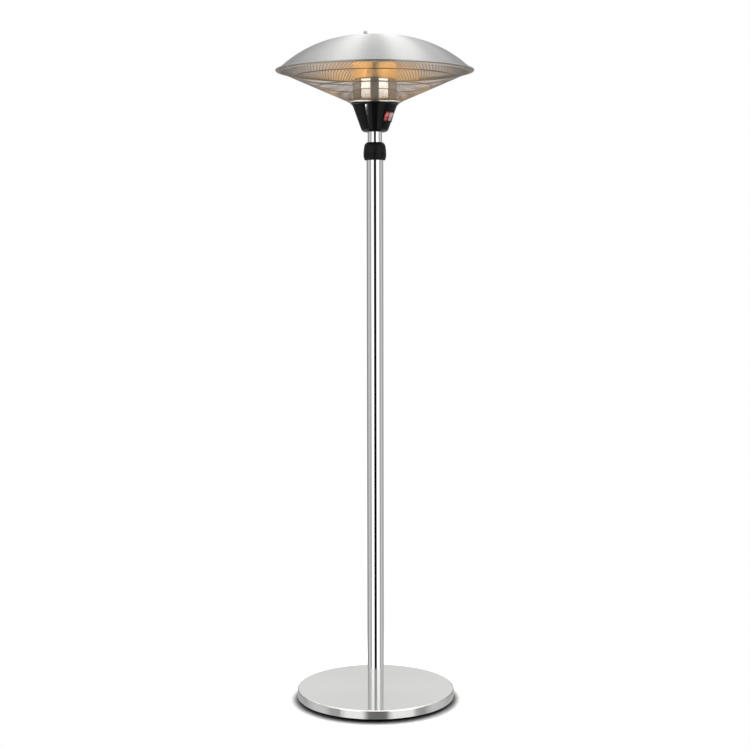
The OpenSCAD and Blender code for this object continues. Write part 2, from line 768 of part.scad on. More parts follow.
// Width of one rocker's bay, and the distance between the two bays' middles
function rocker_bay() = (switch_open_w - switch_bar) / 2;
function rocker_pitch() = rocker_bay() + switch_bar;

// A rocker with two angled faces, round ends about its pivot and a stub of its pin on each side
module rocker(side) {
    w = rocker_bay() - 2 * run_gap;
    reach = switch_open_h / 2 - 0.4;
    crest = switch_proud + rocker_pivot - 1;
    at_switch() translate([side * rocker_pitch() / 2, 0, -rocker_pivot]) rotate([rocker_tilt, 0, 0]) {
        rotate([90, 0, 90]) translate([0, 0, -w / 2]) linear_extrude(w) intersection() {
            circle(reach);
            polygon([
                [-reach, -2.5], [reach, -2.5], [reach, crest + reach * tan(rocker_vee)],
                [0, crest], [-reach, crest + reach * tan(rocker_vee)]
            ]);
        }
        translate([-w / 2 - 1, 0, 0]) rotate([0, 90, 0]) cylinder(r = 1.5, h = w + 2, $fn = 32);
    }
}

module rocker_left() {
    color("red") rocker(-1);
}

module rocker_right() {
    color([0.85, 0.6, 0.56]) rocker(1);
}

module terminal_block() {
    block = [34, 16, 13];
    corner = [-46, 6, housing_top_z - block[2]];
    way_pitch = 8;
    way_d = 5;
    color("ivory")
    translate(corner) difference() {
        cube(block);
        for (i = [0 : 3])
            translate([way_d + i * way_pitch, block[1] / 2, -eps])
                cylinder(d = way_d, h = way_d + 1, $fn = 32);
    }
}

module tilt_switch() {
    body = [16, 12, 20];
    corner = [-6, -36, housing_top_z - body[2]];
    cap_h = 2;
    color("white")
    translate(corner) {
        cube(body);
        translate([body[0] / 2, body[1] / 2, -cap_h]) cylinder(d = body[1] - 3, h = cap_h + eps);
    }
}

module lead_grommet() {
    color("darkred")
    difference() {
        union() {
            translate([0, 0, housing_top_z - grommet_flange_t])
                cylinder(d = grommet_flange_d, h = grommet_flange_t);
            translate([0, 0, housing_top_z - eps]) cylinder(d = grommet_d, h = lid_t + 2 * eps);
            translate([0, 0, lid_top_z]) cylinder(d = grommet_flange_d, h = grommet_flange_t);
        }
        at_leads(housing_top_z - grommet_flange_t - eps)
            cylinder(d = lead_d + 2 * fixed_gap, h = lid_t + 2 * grommet_flange_t + 2 * eps, $fn = 32);
    }
}

module lamp_leads() {
    level_l = holder_in_r + lead_seat + eps - lead_pitch / 2 - lead_bend_r;
    color("white")
    front_and_back() for (x = [-1, 1])
        translate([x * lead_pitch / 2, -lead_pitch / 2, 0]) {
            translate([0, 0, lead_low_z])
                cylinder(d = lead_d, h = lead_z - lead_bend_r - lead_low_z + eps, $fn = 32);
            translate([0, -lead_bend_r, lead_z - lead_bend_r]) rotate([90, 0, 90])
                rotate_extrude(angle = 90) translate([lead_bend_r, 0]) circle(d = lead_d + 0.8, $fn = 32);
            translate([0, eps - lead_bend_r, lead_z]) rotate([90, 0, 0])
                cylinder(d = lead_d, h = level_l, $fn = 32);
        }
}

module reflector_column() {
    color("whitesmoke")
    difference() {
        ring(column_bore_r, column_r, spigot_top_z, column_top_z);
        front_and_back() for (x = [-1, 1]) {
            translate([x * lead_pitch / 2, -column_r / 2, lead_z]) rotate([90, 0, 0])
                cylinder(d = lead_d + 2 * run_gap, h = column_r, $fn = 32);
            translate([x * holder_screw_x, -column_r / 2, holder_screw_z]) rotate([90, 0, 0])
                cylinder(d = holder_screw_d + 2 * fixed_gap, h = column_r, $fn = 32);
        }
        for (side = [-1, 1])
            translate([side * column_r / 2, 0, holder_screw_z]) rotate([0, side * 90, 0])
                cylinder(d = holder_screw_d + 2 * fixed_gap, h = column_r, $fn = 32);
    }
}

module column_cap() {
    color("silver")
    difference() {
        rotate_extrude() union() {
            translate([0, column_top_z]) square([column_r, cap_plate_t]);
            translate([column_bore_r - 5, column_top_z - 10]) square([5 - fixed_gap, 10 + eps]);
        }
        at_rods(column_top_z - eps) cylinder(d = rod_d + 2 * run_gap, h = cap_plate_t + 2 * eps);
    }
}

module tie_rods() {
    color("silver")
    at_rods(housing_top_z - rod_nut_h - 4)
        cylinder(d = rod_d, h = cap_nut_z + cap_nut_h - 4 - housing_top_z + rod_nut_h + 4);
}

module rod_nuts() {
    color("silver")
    at_rods(housing_top_z - 1.2 - rod_nut_h) difference() {
        union() {
            hexagon(nut_flats, rod_nut_h);
            translate([0, 0, rod_nut_h]) cylinder(d = nut_flats + 3, h = 1.2);
        }
        translate([0, 0, -eps]) cylinder(d = rod_d + 2 * fixed_gap, h = rod_nut_h + 2 + 2 * eps);
    }
}

module lamp_holders() {
    color("seashell")
    front_and_back() difference() {
        union() {
            translate([-holder_half_w, -holder_out_r, holder_low_z])
                cube([2 * holder_half_w, holder_out_r - holder_in_r, holder_h]);
            translate([-holder_half_w, -holder_in_r - 1, holder_low_z])
                cube([2 * holder_half_w, holder_in_r + 1 - column_r + 10, 3]);
            intersection() {
                translate([-10, -shoe_out_r, holder_low_z - 12]) cube([20, 30, 15]);
                cylinder(r = shoe_out_r, h = 2 * lamp_z, $fn = fine);
            }
        }
        cylinder(r = column_r + fixed_gap, h = 2 * lamp_z, $fn = fine);
        for (x = [-1, 1]) {
            translate([x * lead_pitch / 2, -holder_in_r + eps, lead_z]) rotate([90, 0, 0])
                cylinder(d = lead_d + 2 * fixed_gap, h = lead_seat + 2 * eps, $fn = 32);
            translate([x * holder_screw_x, -column_r / 2, holder_screw_z]) rotate([90, 0, 0])
                cylinder(d = holder_screw_d + 2 * fixed_gap, h = column_r, $fn = 32);
        }
    }
}

module holder_screws() {
    color("silver")
    front_and_back() for (x = [-1, 1])
        translate([x * holder_screw_x, -shoe_out_r - 0.2, holder_screw_z]) rotate([90, 0, 0]) holder_screw();
    for (side = [-1, 1])
        translate([side * (shoe_out_r + 0.2), 0, holder_screw_z]) rotate([0, side * 90, 0]) holder_screw();
}

// One screw, with the underside of its head at the origin
module holder_screw() {
    cylinder(d1 = 2 * holder_screw_d, d2 = 1.5 * holder_screw_d, h = 1.8, $fn = 32);
    translate([0, 0, -8]) cylinder(d = holder_screw_d, h = 8 + eps, $fn = 32);
}

module lamp_caps() {
    color("seashell")
    front_and_back() for (flip = [0, 1])
        mirror([flip, 0, 0]) translate([0, 0, lamp_z]) rotate(holder_gap_angle - 90) difference() {
            rotate_extrude(angle = lamp_cap_angle) translate([lamp_ring_r, 0])
                circle(d = lamp_cap_d, $fn = 48);
            rotate(lamp_end_angle - holder_gap_angle) rotate_extrude(angle = lamp_cap_angle)
                translate([lamp_ring_r, 0]) circle(r = lamp_r + fixed_gap, $fn = 48);
        }
}

module lamp_tubes() {
    color("lightyellow")
    for (side = [0, 180])
        rotate(side - 90 + lamp_end_angle) translate([0, 0, lamp_z])
            rotate_extrude(angle = 180 - 2 * lamp_end_angle) translate([lamp_ring_r, 0]) difference() {
                circle(lamp_r, $fn = 48);
                circle(lamp_r - lamp_wall, $fn = 48);
            }
}

module lamp_filaments() {
    color("orange")
    for (side = [0, 180])
        rotate(side - 90 + lamp_end_angle) translate([0, 0, lamp_z])
            rotate_extrude(angle = 180 - 2 * lamp_end_angle) translate([lamp_ring_r, 0])
                circle(d = coil_d, $fn = 32);
}

module tube_clips() {
    clip_w = 10;
    clip_wall = 1.2;
    clip_z = lamp_z - lamp_r - run_gap - clip_wall;
    color("silver")
    for (side = [0, 180]) rotate(side) difference() {
        union() {
            translate([0, 0, lamp_z]) rotate(-2.5) rotate_extrude(angle = 5) translate([lamp_ring_r, 0])
                circle(lamp_r + run_gap + clip_wall, $fn = 48);
            translate([column_r - 5, -clip_w / 2, clip_z])
                cube([lamp_ring_r - column_r + 5, clip_w, clip_wall]);
            intersection() {
                translate([column_r - 10, -clip_w / 2, clip_z - 13]) cube([14, clip_w, 13 + clip_wall]);
                cylinder(r = shoe_out_r, h = 2 * lamp_z, $fn = fine);
            }
        }
        translate([0, 0, lamp_z]) rotate_extrude($fn = fine) translate([lamp_ring_r, 0])
            circle(lamp_r + run_gap, $fn = 48);
        cylinder(r = column_r + fixed_gap, h = 2 * lamp_z, $fn = fine);
        translate([column_r / 2, 0, holder_screw_z]) rotate([0, 90, 0])
            cylinder(d = holder_screw_d + 2 * fixed_gap, h = column_r, $fn = 32);
    }
}

// Right half of the dome's section, drawn in by a depth for its inside
module dome_section(depth) {
    intersection() {
        translate([0, apex_z - crown_radius]) circle(crown_radius - depth, $fn = 720);
        translate([0, rim_z]) square([crown_reach, dome_h + 1]);
    }
    intersection() {
        translate(side_centre) circle(side_radius - depth, $fn = 720);
        translate([crown_reach, rim_z]) square([lip_r, dome_h + 1]);
    }
}

module dome() {
    color("lightgray")
    difference() {
        rotate_extrude($fn = fine) union() {
            difference() {
                dome_section(0);
                dome_section(dome_wall);
            }
            translate([dome_rim_r - dome_wall, rim_z]) square([dome_lip + dome_wall - dome_bead_r, dome_wall]);
            translate([lip_r - dome_bead_r, rim_z + dome_bead_r]) circle(dome_bead_r, $fn = 32);
        }
        at_rods(apex_z - 20) cylinder(d = rod_d + 2 * run_gap, h = 40);
        at_rim_screws(rim_z - eps) cylinder(d = rim_screw_d + 2 * fixed_gap, h = dome_wall + 2 * eps);
    }
}

module dome_washers() {
    color("dimgray")
    at_rods(washer_z) difference() {
        cylinder(d = dome_washer_d, h = dome_washer_t);
        translate([0, 0, -eps]) cylinder(d = rod_d + 2 * run_gap, h = dome_washer_t + 2 * eps);
    }
}

module cap_nuts() {
    color("silver")
    at_rods(cap_nut_z) difference() {
        union() {
            hexagon(nut_flats, cap_nut_h / 2);
            cylinder(d = nut_flats - 0.4, h = cap_nut_h - nut_flats / 2);
            translate([0, 0, cap_nut_h - nut_flats / 2]) sphere(d = nut_flats - 0.4, $fn = 48);
        }
        translate([0, 0, -eps]) cylinder(d = rod_d + 2 * fixed_gap, h = cap_nut_h - 3 + eps);
    }
}

module neck_ring() {
    color("silver")
    rotate_extrude($fn = fine) difference() {
        union() {
            translate([spigot_r + run_gap, lid_top_z])
                square([guard_neck_r - spigot_r - run_gap, neck_band_t]);
            on_guard() translate([-channel_back, -channel_out])
                square([channel_depth + channel_back, 2 * channel_out]);
        }
        on_guard() translate([-run_gap, -mesh_gap]) square([channel_depth + 2, 2 * mesh_gap]);
    }
}

// The mesh is one lattice of strands between the neck and the rim. Each strand has a crest on
// both sides of the cone, and each opening's edge lies in the middle of the sheet.
function guard_point(angle, s, lift) =
    let (r = guard_neck_r + s * cos(guard_slope) - lift * sin(guard_slope))
    [r * cos(angle), r * sin(angle), guard_neck_z + s * sin(guard_slope) + lift * cos(guard_slope)];

cell_angle = 360 / mesh_cells;
row_step = guard_slant / mesh_rows;

// Share of a cell's half width and half length that is open at a row
function open_share(row) =
    let (half_w = PI * (guard_neck_r + row * row_step * cos(guard_slope)) / mesh_cells)
    1 - strand_w / 2 / (half_w * row_step / norm([half_w, row_step]));

// Index of a crest point, with side 0 above the sheet and side 1 below it
function crest_index(side, row, i) = (side * (mesh_rows + 1) + row) * mesh_cells + i % mesh_cells;

// Corners of the opening at a row and place as [row, i]: left, down, right, up
function cell_corners(row, i) = [
    [row, i],
    if (row > 0) [row - 1, i + row % 2],
    [row, i + 1],
    if (row < mesh_rows) [row + 1, i + row % 2]
];

// The opening's edge points in the same order
function cell_edge(row, i) =
    let (
        mid = (i + 0.5 + 0.5 * (row % 2)) * cell_angle,
        s = row * row_step,
        f = open_share(row),
        border = row == 0 ? 1 : row == mesh_rows ? -1 : 0,
        side_s = s + border * strand_w / 2,
        half = cell_angle / 2 * (border == 0 ? f : f - strand_w / 2 / row_step)
    ) [
        guard_point(mid - half, side_s, 0),
        if (row > 0) guard_point(mid, s - f * row_step, 0),
        guard_point(mid + half, side_s, 0),
        if (row < mesh_rows) guard_point(mid, s + f * row_step, 0)
    ];

// First index of an opening's edge points
function edge_index(row, i) =
    2 * (mesh_rows + 1) * mesh_cells
    + (row == 0 ? 0 : 3 * mesh_cells + (row - 1) * mesh_cells * 4)
    + i * (row == 0 || row == mesh_rows ? 3 : 4);

module guard_mesh() {
    crests = [
        for (lift = [mesh_t / 2, -mesh_t / 2], row = [0 : mesh_rows], i = [0 : mesh_cells - 1])
            guard_point((i + 0.5 * (row % 2)) * cell_angle, row * row_step, lift)
    ];
    edges = [for (row = [0 : mesh_rows], i = [0 : mesh_cells - 1]) each cell_edge(row, i)];
    faces = [
        for (row = [0 : mesh_rows], i = [0 : mesh_cells - 1])
            let (corners = cell_corners(row, i), n = len(corners), first = edge_index(row, i))
            for (k = [0 : n - 1])
                let (
                    a = corners[k], b = corners[(k + 1) % n],
                    top_a = crest_index(0, a[0], a[1]), top_b = crest_index(0, b[0], b[1]),
                    low_a = crest_index(1, a[0], a[1]), low_b = crest_index(1, b[0], b[1]),
                    mid_a = first + k, mid_b = first + (k + 1) % n,
                    border = a[0] == b[0]
                )
                each concat(
                    [[top_b, top_a, mid_b], [mid_b, top_a, mid_a]],
                    [[low_a, low_b, mid_b], [low_a, mid_b, mid_a]],
                    border ? [[top_a, top_b, low_a], [low_a, top_b, low_b]] : []
                )
    ];
    color("gray") polyhedron(points = concat(crests, edges), faces = faces, convexity = 10);
}

// A hoop of wire that lies on the mesh inside the shade
module hoop(r) {
    s = (r - guard_neck_r) / cos(guard_slope);
    rotate_extrude($fn = fine) on_guard()
        translate([s, mesh_gap + hoop_wire_d / 2]) circle(d = hoop_wire_d, $fn = 32);
}

module guard_hoops() {
    color("silver") {
        hoop(inner_hoop_r);
        hoop(outer_hoop_r);
    }
}

module at_rim_screws(z) {
    for (i = [0 : rim_screw_count - 1])
        rotate((i + 0.5) * 360 / rim_screw_count) translate([rim_screw_r, 0, z]) children();
}

module guard_rim() {
    color("silver")
    difference() {
        rotate_extrude($fn = fine) difference() {
            union() {
                on_guard() translate([guard_slant - channel_depth, -channel_out])
                    square([channel_depth + channel_back, 2 * channel_out]);
                translate([guard_end_r, rim_z - rim_band_t])
                    square([lip_r - dome_bead_r - guard_end_r, rim_band_t]);
            }
            on_guard() translate([guard_slant - channel_depth - 2, -mesh_gap])
                square([channel_depth + 2 + run_gap, 2 * mesh_gap]);
        }
        at_rim_screws(rim_z - rim_band_t - eps)
            cylinder(d = rim_screw_d + 2 * fixed_gap, h = rim_band_t + 2 * eps);
    }
}

module rim_screws() {
    color("silver")
    at_rim_screws(rim_z - rim_band_t) {
        cylinder(d = rim_screw_d, h = rim_band_t + dome_wall);
        mirror([0, 0, 1]) cylinder(d1 = rim_screw_d + 2.6, d2 = rim_screw_d + 1, h = 1.6);
    }
}

base_cover();
base_ballast();
base_hub();
rubber_feet();
foot_bolt();
foot_washer();
pole_foot();
cable_gland();
gland_nut();
lower_tube();
collar_sleeve();
clamp_collet();
collar_nut();
upper_tube();
guide_bush();
tube_socket();
socket_rivets();
cross_bolt();
housing_shell();
housing_lid();
lid_screws();
switch_frame();
rocker_left();
rocker_right();
terminal_block();
tilt_switch();
lead_grommet();
lamp_leads();
reflector_column();
column_cap();
tie_rods();
rod_nuts();
lamp_holders();
holder_screws();
lamp_caps();
lamp_tubes();
lamp_filaments();
tube_clips();
dome();
dome_washers();
cap_nuts();
neck_ring();
guard_mesh();
guard_hoops();
guard_rim();
rim_screws();
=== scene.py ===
import json
import math

import bmesh
import bpy
from mathutils import Matrix, Vector


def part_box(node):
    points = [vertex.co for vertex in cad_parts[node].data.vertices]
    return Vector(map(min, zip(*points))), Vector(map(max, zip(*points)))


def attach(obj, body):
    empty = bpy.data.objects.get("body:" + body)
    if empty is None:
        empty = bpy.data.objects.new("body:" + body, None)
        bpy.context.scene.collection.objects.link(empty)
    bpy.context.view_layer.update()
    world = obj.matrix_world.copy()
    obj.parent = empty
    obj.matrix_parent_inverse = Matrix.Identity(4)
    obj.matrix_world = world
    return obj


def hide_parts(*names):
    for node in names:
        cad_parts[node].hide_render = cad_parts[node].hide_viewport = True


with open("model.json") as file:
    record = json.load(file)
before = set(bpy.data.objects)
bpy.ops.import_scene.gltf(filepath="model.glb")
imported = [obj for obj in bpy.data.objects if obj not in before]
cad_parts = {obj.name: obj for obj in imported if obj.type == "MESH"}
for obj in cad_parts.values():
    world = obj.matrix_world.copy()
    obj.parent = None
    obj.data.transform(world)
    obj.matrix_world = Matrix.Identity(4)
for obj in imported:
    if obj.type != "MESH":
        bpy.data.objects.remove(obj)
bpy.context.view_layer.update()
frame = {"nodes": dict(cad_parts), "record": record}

NODES = frame["nodes"]
BODY = {name: part for part, names in frame["record"]["behaviour"]["bodies"].items() for name in names}
SLOT = {entry["node"]: entry["material_slot"] for entry in frame["record"]["subparts"]}

# Shader helpers

# Noise values lie mostly between these two
NOISE_LOW = 0.3
NOISE_HIGH = 0.7


def new_material(name):
    material = bpy.data.materials.new(name)
    material.use_nodes = True
    return material, material.node_tree.nodes, material.node_tree.links


def surface(name, colour, metallic, roughness, **sockets):
    """A Principled material with constant values on its own sockets."""
    material, nodes, links = new_material(name)
    shader = nodes["Principled BSDF"]
    shader.inputs["Base Color"].default_value = (*colour, 1)
    shader.inputs["Metallic"].default_value = metallic
    shader.inputs["Roughness"].default_value = roughness
    for socket, value in sockets.items():
        shader.inputs[socket.replace("_", " ")].default_value = value
    return material


def math_node(nodes, links, operation, first, second=None):
    """The output of a Math node, with a number or an output for each input."""
    node = nodes.new("ShaderNodeMath")
    node.operation = operation
    for socket, value in zip(node.inputs, (first, second)):
        if value is None:
            continue
        if isinstance(value, (int, float)):
            socket.default_value = value
        else:
            links.new(value, socket)
    return node.outputs[0]


def object_place(nodes, links):
    """The x, y and z outputs of a point's place in its piece's own frame."""
    place = nodes.new("ShaderNodeTexCoord")
    parts = nodes.new("ShaderNodeSeparateXYZ")
    links.new(place.outputs["Object"], parts.inputs[0])
    return parts.outputs


def axis_distance(nodes, links, x, y):
    """The distance of a place from the vertical axis."""
    squares = [math_node(nodes, links, "MULTIPLY", part, part) for part in (x, y)]
    return math_node(nodes, links, "SQRT", math_node(nodes, links, "ADD", *squares))


def turned_place(nodes, links, along, across):
    """A vector for a grain that runs round the axis: fast changes across the grain, slow ones along it."""
    x, y, z = object_place(nodes, links)
    radius = axis_distance(nodes, links, x, y)
    angle = math_node(nodes, links, "ARCTAN2", y, x)
    vector = nodes.new("ShaderNodeCombineXYZ")
    links.new(math_node(nodes, links, "MULTIPLY", radius, across), vector.inputs[0])
    links.new(math_node(nodes, links, "MULTIPLY", z, across), vector.inputs[1])
    links.new(math_node(nodes, links, "MULTIPLY", angle, along), vector.inputs[2])
    return vector.outputs[0]


def scaled_place(nodes, links, scale):
    """The piece's own coordinates, scaled by one number or by one for each axis."""
    place = nodes.new("ShaderNodeTexCoord")
    mapping = nodes.new("ShaderNodeMapping")
    mapping.inputs["Scale"].default_value = (scale,) * 3 if isinstance(scale, float) else scale
    links.new(place.outputs["Object"], mapping.inputs["Vector"])
    return mapping.outputs[0]


def noise(nodes, links, vector, detail):
    texture = nodes.new("ShaderNodeTexNoise")
    texture.inputs["Scale"].default_value = 1.0
    texture.inputs["Detail"].default_value = detail
    links.new(vector, texture.inputs["Vector"])
    return texture.outputs["Fac"]


def map_range(nodes, links, value, source, target=(0.0, 1.0), smooth=False):
    """A value spread from one range over another, in a straight or a smooth step."""
    node = nodes.new("ShaderNodeMapRange")
    if smooth:
        node.interpolation_type = "SMOOTHSTEP"
    node.inputs["From Min"].default_value, node.inputs["From Max"].default_value = source
    node.inputs["To Min"].default_value, node.inputs["To Max"].default_value = target
    links.new(value, node.inputs["Value"])
    return node.outputs[0]


def ramp_of(nodes, stops):
    """A ramp through (place, grey level) stops."""
    node = nodes.new("ShaderNodeValToRGB")
    ramp = node.color_ramp
    while len(ramp.elements) > 1:
        ramp.elements.remove(ramp.elements[-1])
    ramp.elements[0].position = stops[0][0]
    ramp.elements[0].color = (stops[0][1],) * 3 + (1,)
    for place, grey in stops[1:]:
        ramp.elements.new(place).color = (grey, grey, grey, 1)
    return node


def two_colours(nodes, first, last):
    """A ramp between two colours."""
    node = nodes.new("ShaderNodeValToRGB")
    node.color_ramp.elements[0].color = (*first, 1)
    node.color_ramp.elements[1].color = (*last, 1)
    return node


def mix_shaders(nodes, links, share, first, second):
    """The first shader's output, or the second's where the share is 1."""
    node = nodes.new("ShaderNodeMixShader")
    links.new(share, node.inputs[0])
    links.new(first.outputs[0], node.inputs[1])
    links.new(second.outputs[0], node.inputs[2])
    return node


def seen_directly(nodes, links, path):
    """1 for rays from the camera, also through glass."""
    rays = [path.outputs[name] for name in ("Is Camera Ray", "Is Transmission Ray")]
    return math_node(nodes, links, "MAXIMUM", *rays)


def vary(material, value, roughness, bump=None, colours=None):
    """Roughness, bump and colour that follow a noise value. The bump is its strength and its depth."""
    nodes, links = material.node_tree.nodes, material.node_tree.links
    shader = nodes["Principled BSDF"]
    spread = map_range(nodes, links, value, (NOISE_LOW, NOISE_HIGH), roughness)
    links.new(spread, shader.inputs["Roughness"])
    if bump:
        node = nodes.new("ShaderNodeBump")
        node.inputs["Strength"].default_value = bump[0]
        node.inputs["Distance"].default_value = bump[1]
        links.new(value, node.inputs["Height"])
        links.new(node.outputs[0], shader.inputs["Normal"])
    if colours:
        ramp = two_colours(nodes, *colours)
        ramp.color_ramp.elements[0].position = NOISE_LOW
        ramp.color_ramp.elements[1].position = NOISE_HIGH
        links.new(value, ramp.inputs[0])
        links.new(ramp.outputs[0], shader.inputs["Base Color"])


# Materials

# Depths of bump in metres, and the strength of the bump of small marks
FINE_BUMP = 0.0001
GRAIN_BUMP = 0.0002
CAST_BUMP = 0.0005
MARK_STRENGTH = 0.05
# The brushed grain: changes in a turn along it and in a metre across it, the strength of its bump, and the
# quarter turn that spreads highlights square to it
GRAIN_ALONG = 6.0
GRAIN_ACROSS = 2600.0
GRAIN_STRENGTH = 0.02
QUARTER_TURN = 0.25
# Other noise, in changes for a metre: polishing marks across and along a tube, and even marks
POLISH_MARKS = (900.0, 900.0, 9.0)
PLATED_MARKS = 700.0
CAST_GRAIN = 420.0
ROCKER_CLOUDS = 160.0
QUARTZ_WAVES = 60.0
# A weak painted glow on the inside of the dome, emission standing in for the lamps' light, by distance from
# the axis in metres
GLOW_FROM = 0.205
GLOW_TO = 0.262
GLOW_NEAR = (0.02, 0.01, 0.003)
GLOW_FAR = (0.0, 0.0, 0.0)
# The lamps glow beyond these angles in degrees from the front and the back, where their cold ends are
COLD_END = 17.0
WARM_END = 23.0
QUARTZ_GLOW = (1.0, 0.60, 0.15)
QUARTZ_STRENGTH = 17.0
COIL_GAP = (0.9, 0.28, 0.03)
COIL_TURN = (1.0, 0.52, 0.12)
COIL_STRENGTH = 24.0
COIL_TURNS = 520.0


def brushed_round(name, low, high, roughness, anisotropy=0.85):
    """Steel with a fine grain round the axis, which spreads its highlights square to the grain."""
    sockets = {"Anisotropic": anisotropy, "Anisotropic_Rotation": QUARTER_TURN}
    material = surface(name, low, 1.0, roughness[0], **sockets)
    nodes, links = material.node_tree.nodes, material.node_tree.links
    tangent = nodes.new("ShaderNodeTangent")
    tangent.direction_type = "RADIAL"
    tangent.axis = "Z"
    links.new(tangent.outputs[0], nodes["Principled BSDF"].inputs["Tangent"])
    value = noise(nodes, links, turned_place(nodes, links, GRAIN_ALONG, GRAIN_ACROSS), 4.0)
    vary(material, value, roughness, (GRAIN_STRENGTH, FINE_BUMP), (low, high))
    return material


def brushed_with_painted_glow(name, low, high, roughness):
    """Brushed steel above the lamps, with a weak painted glow on it near them that stands in for their light.
    """
    material = brushed_round(name, low, high, roughness, 1.0)
    nodes, links = material.node_tree.nodes, material.node_tree.links
    x, y, _ = object_place(nodes, links)
    # Painted glow: an emission near the axis that fades out between GLOW_FROM and GLOW_TO, standing in for
    # the lamps' light
    reach = map_range(nodes, links, axis_distance(nodes, links, x, y), (GLOW_FROM, GLOW_TO))
    ramp = two_colours(nodes, GLOW_NEAR, GLOW_FAR)
    ramp.color_ramp.interpolation = "EASE"
    links.new(reach, ramp.inputs[0])
    shader = nodes["Principled BSDF"]
    links.new(ramp.outputs[0], shader.inputs["Emission Color"])
    shader.inputs["Emission Strength"].default_value = 1.0
    return material


def polished(name, colour, roughness):
    """Polished tube, with a trace of long polishing marks."""
    material = surface(name, colour, 1.0, roughness[0])
    nodes, links = material.node_tree.nodes, material.node_tree.links
    value = noise(nodes, links, scaled_place(nodes, links, POLISH_MARKS), 3.0)
    vary(material, value, roughness)
    return material


def moulded(name, colour, roughness, grain, bump, gloss=0.5):
    """Moulded plastic, with a fine even grain."""
    material = surface(name, colour, 0.0, roughness[0], Specular_IOR_Level=gloss)
    nodes, links = material.node_tree.nodes, material.node_tree.links
    value = noise(nodes, links, scaled_place(nodes, links, grain), 4.0)
    vary(material, value, roughness, (bump, GRAIN_BUMP))
    return material


def plated(name, low, high, roughness):
    """Drawn or plated metal with small cloudy marks."""
    material = surface(name, low, 1.0, roughness[0])
    nodes, links = material.node_tree.nodes, material.node_tree.links
    value = noise(nodes, links, scaled_place(nodes, links, PLATED_MARKS), 4.0)
    vary(material, value, roughness, (MARK_STRENGTH, FINE_BUMP), (low, high))
    return material


def cast(name, low, high):
    """Rough casting."""
    material = surface(name, low, 0.6, 0.6)
    nodes, links = material.node_tree.nodes, material.node_tree.links
    value = noise(nodes, links, scaled_place(nodes, links, CAST_GRAIN), 6.0)
    vary(material, value, (0.5, 0.75), (0.4, CAST_BUMP), (low, high))
    return material


def sines(low, high):
    """The sines of two angles in degrees."""
    return math.sin(math.radians(low)), math.sin(math.radians(high))


def warm_part(nodes, links, strength):
    """An emission strength that falls to nothing at the lamps' cold ends, at the front and the back."""
    x, y, _ = object_place(nodes, links)
    aside = math_node(nodes, links, "ABSOLUTE", x)
    sine = math_node(nodes, links, "DIVIDE", aside, axis_distance(nodes, links, x, y))
    warm = map_range(nodes, links, sine, sines(COLD_END, WARM_END), (0.0, strength), smooth=True)
    links.new(warm, nodes["Principled BSDF"].inputs["Emission Strength"])


def quartz():
    """Clear quartz tube, warmed by the coil inside."""
    material = surface("quartz", (1.0, 0.93, 0.82), 0.0, 0.03, IOR=1.46, Transmission_Weight=1.0)
    nodes, links = material.node_tree.nodes, material.node_tree.links
    value = noise(nodes, links, scaled_place(nodes, links, QUARTZ_WAVES), 2.0)
    vary(material, value, (0.02, 0.08))
    nodes["Principled BSDF"].inputs["Emission Color"].default_value = (*QUARTZ_GLOW, 1)
    warm_part(nodes, links, QUARTZ_STRENGTH)
    return material


def glowing_coil():
    """Heating coil: bright turns with darker gaps along the lamp."""
    material = surface("glowing_coil", (0.9, 0.4, 0.1), 0.0, 0.6)
    nodes, links = material.node_tree.nodes, material.node_tree.links
    x, y, _ = object_place(nodes, links)
    angle = math_node(nodes, links, "ARCTAN2", y, x)
    turns = math_node(nodes, links, "SINE", math_node(nodes, links, "MULTIPLY", angle, COIL_TURNS))
    ramp = two_colours(nodes, COIL_GAP, COIL_TURN)
    links.new(math_node(nodes, links, "ADD", turns, 0.5), ramp.inputs[0])
    links.new(ramp.outputs[0], nodes["Principled BSDF"].inputs["Emission Color"])
    warm_part(nodes, links, COIL_STRENGTH)
    return material


def rocker(name, low, high, glow):
    """Clear-coated rocker with cloudy colour and a weak lamp behind it."""
    material = surface(name, low, 0.0, 0.18, IOR=1.5, Coat_Weight=0.5, Coat_Roughness=0.08)
    nodes, links = material.node_tree.nodes, material.node_tree.links
    value = noise(nodes, links, scaled_place(nodes, links, ROCKER_CLOUDS), 2.0)
    vary(material, value, (0.14, 0.24), (MARK_STRENGTH, FINE_BUMP), (low, high))
    shader = nodes["Principled BSDF"]
    shader.inputs["Emission Color"].default_value = (*high, 1)
    shader.inputs["Emission Strength"].default_value = glow
    return material


